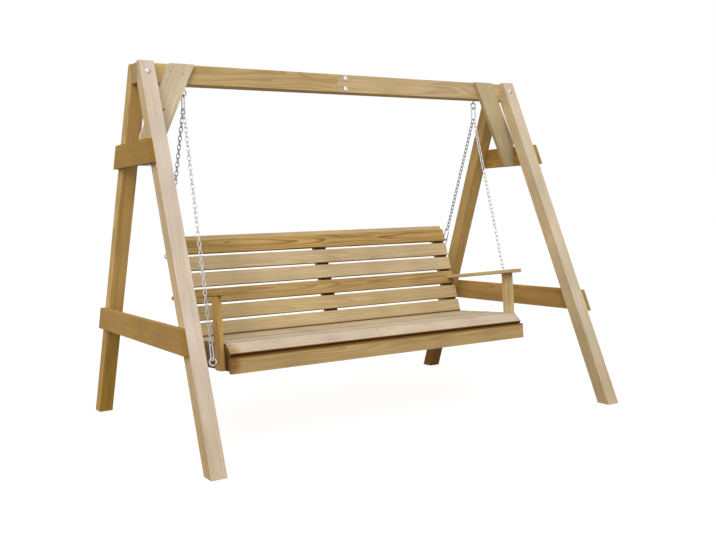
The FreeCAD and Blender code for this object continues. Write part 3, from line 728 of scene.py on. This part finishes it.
# %% [markdown]
# ## Chain
# The chain is short welded link of 4.5 mm wire. A link is a ring stretched to an oval: a torus does
# it, with its upper half moved up and its lower half down. There are 160 links, so each has only six
# dozen faces, and smooth shading makes its wire round.

# %% Chains
LINK_TURNS, LINK_SIDES, ROUND_ALL_OVER = 12, 6, 80


def link_pattern(straight):
    """One link, lying flat, its straight sides along Y."""
    free_hands()
    bpy.ops.mesh.primitive_torus_add(major_segments=LINK_TURNS, minor_segments=LINK_SIDES,
                                     major_radius=(LINK_WIDTH - LINK_WIRE) / 2 * MM,
                                     minor_radius=LINK_WIRE / 2 * MM)
    link = begin("chain_link")
    bpy.ops.transform.rotate(value=math.pi / LINK_TURNS, orient_axis="Z",
                             center_override=(0, 0, 0))
    for way in (1, -1):
        pick(link, lambda co: co.y * way > 0)
        bpy.ops.transform.translate(value=(0, way * straight / 2 * MM, 0))
    close_up(ROUND_ALL_OVER)
    return link


for (place, side_name), line in HANGERS.items():
    count = LINKS[place]
    run = (line["first"] - line["last"]).length
    inside = (run - LINK_WIRE + (count - 1) * REST_GAP) / count
    pattern = link_pattern(inside + LINK_WIRE - (LINK_WIDTH - LINK_WIRE))
    links = []
    for k in range(count):
        middle = line["first"] - line["up"] * ((inside + LINK_WIRE) / 2 + k * (inside - REST_GAP))
        across = line["face" if k % 2 == 0 else "side"]
        links.append(copy_of(pattern, lay(middle, across, line["up"])))
    node = f"{place}_chain_{side_name}"
    dress(together("links_of_" + node, links), CHAIN_STEEL[place], "swing", "chain_steel", node)
    put_away(pattern)

# %% [markdown]
# ## Spring hooks
# Each hook is one piece of 8 mm wire bent to an oval, with a gate that turns on a pin and is pushed
# shut by a spring inside. The wire could be a curve with a bevel; here a ring of points is pulled and
# spun along the bend, which is how the wire itself is formed, and leaves clean quads. The gate is a
# rod with a forked foot over the tongue.

# %% Spring hook and its gate
STUB_TOP, NOSE_FOOT, HINGE, GATE_TOP, GATE_WIRE = -17.5, 15.0, -13.0, 14.4, 7.0
WIRE_SIDES, BEND_STEPS = 12, 14
TONGUE, TONGUE_RISE, TONGUE_ROUND = (6, 10, 3), 3, 1.4
GATE_CHAMFER, GATE_TIP = 0.8, 0.8
GATE_FOOT = ((-1.8, 0.87), (-1.2, 0.6))      # each step down, and what is left of the width
FORK, FORK_DROP = (12, 13.2, 3.6), 1
PIN, PIN_LENGTH, PIN_SIDES = 2.4, 5.8, 10
half_straight = HOOK_STRAIGHT / 2

hook = round_wire("spring_hook", WIRE, (HOOK_MEAN, NOSE_FOOT, 0), REARWARD, WIRE_SIDES)
pull(0, half_straight - NOSE_FOOT, 0)
bend(0, half_straight, 180, BEND_STEPS)
pull(0, -HOOK_STRAIGHT, 0)
bend(0, -half_straight, 180, BEND_STEPS)
pull(0, STUB_TOP + half_straight, 0)
close_up()

free_hands()
bpy.ops.mesh.primitive_cube_add(size=1, scale=Vector(TONGUE) * MM,
                                location=Vector((HOOK_MEAN, STUB_TOP + TONGUE_RISE, 0)) * MM)
tongue = begin("hook_tongue")
pick(tongue, lambda co: co.y > STUB_TOP * MM)
bpy.ops.mesh.bevel(offset=TONGUE_ROUND * MM, segments=3, affect="EDGES")
close_up()
hook = together("spring_hook", [hook, tongue])

gate_neck = GATE_TOP - GATE_CHAMFER
gate = round_wire("hook_gate", GATE_WIRE, (HOOK_MEAN, gate_neck, 0), -REARWARD, WIRE_SIDES)
pull(0, HINGE - gate_neck, 0)
for drop, width in GATE_FOOT:
    pull(0, drop, 0)
    narrow(width, HOOK_MEAN)
pick(gate, lambda co: co.y > gate_neck * MM - JOIN_REACH)
pull(0, GATE_CHAMFER, 0)
narrow(GATE_TIP, HOOK_MEAN)
close_up()

free_hands()
bpy.ops.mesh.primitive_cube_add(size=1, scale=Vector(FORK) * MM,
                                location=Vector((HOOK_MEAN, HINGE - FORK_DROP, 0)) * MM)
fork_cutter = begin("fork_cutter")
close_up()
cut(gate, fork_cutter)
pin = round_wire("gate_pin", PIN, (HOOK_MEAN, HINGE, -PIN_LENGTH / 2), UP, PIN_SIDES)
pull(0, 0, PIN_LENGTH)
close_up()
gate = together("hook_gate", [gate, pin])

for side_name in SIDES:
    front, rear = HANGERS["front", side_name], HANGERS["rear", side_name]
    spots = {"beam": lay(front["beam_hook"], -REARWARD, UP),
             "front": lay(front["hook"], front["side"], front["up"]),
             "rear": lay(rear["hook"], rear["side"], rear["up"])}
    for place, spot in spots.items():
        node = f"{place}_hook_{side_name}"
        wire = together("wire_of_" + node, [copy_of(hook, spot)])
        dress(wire, HARDWARE_STEEL, "swing", "hardware_steel", node)
        node = f"{place}_hook_gate_{side_name}"
        rod = together("rod_of_" + node, [copy_of(gate, spot)])
        dress(rod, HARDWARE_STEEL, node, "hardware_steel", node)
put_away(hook, gate)

# %% [markdown]
# ## Eyebolts
# An eyebolt is a ring of 8 mm wire on a 10 mm shank that goes through the timber to a nut. The shank
# starts inside the ring's wire, so the two read as forged in one, and its end is chamfered.

# %% Eyebolts in the beam and the bench
NUT_HEIGHT, BOLT_TAIL, BOLT, SHANK_SIDES = 8.0, 4.0, 10.0, 16
SHANK_CHAMFER, SHANK_TIP = 1.0, 0.8
EYE_TURNS, EYE_SIDES = 28, 12
BEAM_SEAT, BEAM_GRIP = 35.0, 90.0
BENCH_SEAT, BENCH_GRIPS = 23.0, {"front": 45.0, "rear": 70.0}


def bolt_shank(start, end):
    """A shank along Y with a chamfer at its end."""
    shank = round_wire("bolt_shank", BOLT, (0, start, 0), REARWARD, SHANK_SIDES)
    pull(0, end - SHANK_CHAMFER - start, 0)
    pull(0, SHANK_CHAMFER, 0)
    narrow(SHANK_TIP)
    close_up()
    return shank


def eyebolt(seat, grip):
    """Ring at the origin, shank along Y: the timber starts at the seat and ends after the grip."""
    free_hands()
    bpy.ops.mesh.primitive_torus_add(major_segments=EYE_TURNS, minor_segments=EYE_SIDES,
                                     major_radius=EYE_MEAN * MM, minor_radius=WIRE / 2 * MM)
    ring = begin("eye_ring")
    close_up(ROUND_ALL_OVER)
    shank = bolt_shank(EYE_MEAN, seat + grip + NUT_HEIGHT + BOLT_TAIL)
    return together("eyebolt", [ring, shank])


pattern = eyebolt(BEAM_SEAT, BEAM_GRIP)
eyes = [copy_of(pattern, lay(mirrored(BEAM_EYE, side), ACROSS, UP)) for side in SIDES.values()]
dress(together("beam_eyes", eyes), HARDWARE_STEEL, "frame", "hardware_steel", "beam_eyebolts")
put_away(pattern)

eyes = []
for side_name, side in SIDES.items():
    inward = ACROSS * -side
    for place, eye in BENCH_EYES.items():
        chain = HANGERS[place, side_name]["up"]
        pattern = eyebolt(BENCH_SEAT, BENCH_GRIPS[place])
        square_to_shank = chain - inward * chain.dot(inward)
        eyes.append(copy_of(pattern, lay(mirrored(eye, side), square_to_shank, inward)))
        put_away(pattern)
dress(together("bench_eyes", eyes), HARDWARE_STEEL, "swing", "hardware_steel", "bench_eyebolts")

# %% [markdown]
# ## Carriage bolts, nuts and washers
# The legs and the lap in the beam are held by carriage bolts: a smooth dome outside, a nut and a
# washer behind. The dome is a slice of a large ball, so a sphere is cut by Bisect and its rim pulled
# down. A nut is a six-sided block whose corners are taken off, and a washer a flat disc. Both are
# closed, because the bolt fills their bores.

# %% Bolt, nut and washer patterns
DOME, DOME_HEIGHT, DOME_RIM, DOME_TURNS, DOME_RINGS = 24.0, 6.0, 2.0, 24, 28
SHANK_INSIDE = 0.5                           # how far a shank starts inside its dome
NUT_FLATS, NUT_CHAMFER, NUT_SHARP = 17.0, 1.2, 25
WASHER, WASHER_THICK, WASHER_SIDES = 24.0, 1.8, 24


def dome_bolt(length):
    """Dome on the plane Y = 0, pointing to -Y, with a shank of that length along Y."""
    cap = DOME_HEIGHT - DOME_RIM
    ball = ((DOME / 2) ** 2 + cap ** 2) / (2 * cap)
    free_hands()
    bpy.ops.mesh.primitive_uv_sphere_add(segments=DOME_TURNS, ring_count=DOME_RINGS,
                                         radius=ball * MM, rotation=(math.pi / 2, 0, 0),
                                         location=(0, (ball - DOME_HEIGHT) * MM, 0))
    dome = begin("bolt_dome")
    bpy.ops.mesh.bisect(plane_co=(0, -DOME_RIM * MM, 0), plane_no=REARWARD, clear_outer=True)
    pick(dome, lambda co: co.y > -DOME_RIM * MM - JOIN_REACH)
    pull(0, DOME_RIM, 0)
    close_up()
    return together("dome_bolt", [dome, bolt_shank(-SHANK_INSIDE, length)])


def nut_and_washer():
    """Washer on the plane Y = 0 and a nut on it, both along Y."""
    washer = round_wire("washer", WASHER, (0, 0, 0), REARWARD, WASHER_SIDES)
    pull(0, WASHER_THICK, 0)
    close_up()
    free_hands()
    bpy.ops.mesh.primitive_cylinder_add(vertices=6, radius=NUT_FLATS / math.sqrt(3) * MM,
                                        depth=(NUT_HEIGHT - WASHER_THICK) * MM,
                                        rotation=(math.pi / 2, 0, 0),
                                        location=(0, (NUT_HEIGHT + WASHER_THICK) / 2 * MM, 0))
    nut = begin("nut")
    pick(nut, lambda co: co.y > NUT_HEIGHT * MM - JOIN_REACH)
    bpy.ops.mesh.bevel(offset=NUT_CHAMFER * MM, segments=2, affect="EDGES")
    close_up(NUT_SHARP)
    return together("nut_and_washer", [washer, nut])


# %% Bolts and nuts in place
LEG_BOLT, LEG_SEAT, LEG_BOLT_HEIGHT = 1063.50, 91.35, 1690.0
LAP_FACE, LAP_HEIGHTS, BEAM_TOP = 45.0, (1663.0, 1717.0), 1735.0
leg_bolt = dome_bolt(2 * LEG_SEAT + NUT_HEIGHT + BOLT_TAIL)
lap_bolt = dome_bolt(2 * LAP_FACE + NUT_HEIGHT + BOLT_TAIL)
nut = nut_and_washer()
bolts, nuts = [], []
for x in (-LEG_BOLT, LEG_BOLT):
    front, rear = (Vector((x, y, LEG_BOLT_HEIGHT)) for y in (-LEG_SEAT, LEG_SEAT))
    bolts.append(copy_of(leg_bolt, lay(front, ACROSS, REARWARD)))
    nuts.append(copy_of(nut, lay(rear, ACROSS, REARWARD)))
for z in LAP_HEIGHTS:
    front, rear = (Vector((0, y, z)) for y in (-LAP_FACE, LAP_FACE))
    bolts.append(copy_of(lap_bolt, lay(front, ACROSS, REARWARD)))
    nuts.append(copy_of(nut, lay(rear, ACROSS, REARWARD)))
for side in SIDES.values():
    nuts.append(copy_of(nut, lay(Vector((BEAM_EYE[0] * side, 0, BEAM_TOP)), ACROSS, UP)))
dress(together("stand_bolts", bolts), HARDWARE_STEEL, "frame", "hardware_steel", "frame_bolts")
dress(together("stand_nuts", nuts), HARDWARE_STEEL, "frame", "hardware_steel", "frame_nuts")
nuts = []
for side in SIDES.values():
    inward = ACROSS * -side
    for place, eye in BENCH_EYES.items():
        seat = mirrored(eye, side) + inward * (BENCH_SEAT + BENCH_GRIPS[place])
        nuts.append(copy_of(nut, lay(seat, UP, inward)))
dress(together("seat_nuts", nuts), HARDWARE_STEEL, "swing", "hardware_steel", "bench_nuts")
put_away(leg_bolt, lap_bolt, nut)

# %% [markdown]
# ## Wood screws
# The slats, braces and armrests are held by countersunk wood screws, sunk almost level with the
# face: two wherever a slat crosses a rail or an upright. The head is a short cylinder with a bevelled
# rim, and its cross recess is cut by Boolean with a plus-shaped cutter, which is a small cube with
# its four sides extruded. There are dozens, so a screw has only some forty faces, and what is inside
# the wood is left out.

# %% Screw head
SCREW_HEAD, SCREW_SUNK, SCREW_PROUD, SCREW_CHAMFER, SCREW_SIDES = 8.0, 1.6, 0.25, 0.35, 12
CROSS_ARM, CROSS_WIDE, CROSS_DEEP, SCREW_SHARP = 2.4, 1.3, 1.1, 30
free_hands()
bpy.ops.mesh.primitive_cylinder_add(vertices=SCREW_SIDES, radius=SCREW_HEAD / 2 * MM,
                                    depth=(SCREW_SUNK + SCREW_PROUD) * MM,
                                    location=(0, 0, (SCREW_PROUD - SCREW_SUNK) / 2 * MM))
screw = begin("screw_head")
pick(screw, lambda co: co.z > 0)
bpy.ops.mesh.bevel(offset=SCREW_CHAMFER * MM, segments=1, affect="EDGES")
close_up(SCREW_SHARP)

free_hands()
half_wide = CROSS_WIDE / 2
bpy.ops.mesh.primitive_cube_add(size=CROSS_WIDE * MM,
                                location=(0, 0, (SCREW_PROUD - CROSS_DEEP + half_wide) * MM))
cross_cutter = begin("cross_cutter")
for way in (ACROSS, -ACROSS, REARWARD, -REARWARD):
    pick(cross_cutter, lambda co: abs(co.dot(way) - half_wide * MM) < JOIN_REACH
         and abs(co.dot(way.cross(UP))) < half_wide * MM + JOIN_REACH)
    pull(*(way * (CROSS_ARM - half_wide)))
close_up()
cut(screw, cross_cutter)
print("screw head", len(screw.data.polygons), "faces")

# %% [markdown]
# Each screw goes where two boards cross: a point inside the crossing is moved along the thickness of
# the board that shows the head, up to its face. So the places follow from the solids and needn't be
# written down one by one. Only those on the braces are, in millimetres from the middle and the floor.

# %% Screws in place
SCREW_ASIDE = 20.0                           # each screw of a pair from the middle of the crossing
SWOLLEN_FACE = 0.7                           # share of the swelling by which a face comes out
BRACE_SCREWS, BRACE_INSIDE = ((949.3, 1696.1), (887.1, 1688.9)), -60


def screw_at(node, facing, point):
    """A screw on the face of a board that faces that way, above a point in metres."""
    thick, _, length, middle = board_axes(node)
    out = thick if thick.dot(facing) > 0 else -thick
    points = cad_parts[node].data.vertices
    face = max((corner.co - middle).dot(out) for corner in points)
    if node in TIGHT_JOINT:
        face += SWOLLEN_FACE * SWELLING
    head = point + out * (face - (point - middle).dot(out))
    return copy_of(screw, lay(head / MM, length, out.cross(length)))


def screw_pair(node, facing, spot, way):
    """Two screws on a board, to both sides of a spot."""
    return [screw_at(node, facing, spot + way * (s * SCREW_ASIDE * MM)) for s in (-1, 1)]


def middle_of(node):
    """The middle of a board's box."""
    return board_axes(node)[3]


def crossing(support, board):
    """Where a board that runs from left to right passes a support."""
    return Vector((middle_of(support).x, *middle_of(board).yz))


stand_screws = [screw_at("knee_brace_" + side_name, -REARWARD,
                         Vector((x * side, BRACE_INSIDE, z)) * MM)
                for side_name, side in SIDES.items() for x, z in BRACE_SCREWS]
dress(together("stand_screws", stand_screws), SCREW_STEEL_AND_PAINTED_SHADE, "frame", "hardware_steel")

seat_screws = []
for k in SLATS:
    seat_slat, back_slat = f"seat_slat_{k}", f"back_slat_{k}"
    wide = board_axes(seat_slat)[1]
    for rail in RAILS:
        seat_screws += screw_pair(seat_slat, UP, crossing(rail, seat_slat), wide)
    for upright in UPRIGHTS:
        seat_screws += screw_pair(upright, REARWARD, crossing(upright, back_slat), ACROSS)
for upright in UPRIGHTS:
    seat_screws += screw_pair("back_cap", UP, crossing(upright, "back_cap"), ACROSS)
for side_name in SIDES:
    post = middle_of("arm_post_" + side_name)
    seat_screws += screw_pair("armrest_" + side_name, UP, post, REARWARD)
dress(together("seat_screws", seat_screws), SCREW_STEEL_AND_PAINTED_SHADE, "swing", "hardware_steel")
put_away(screw)
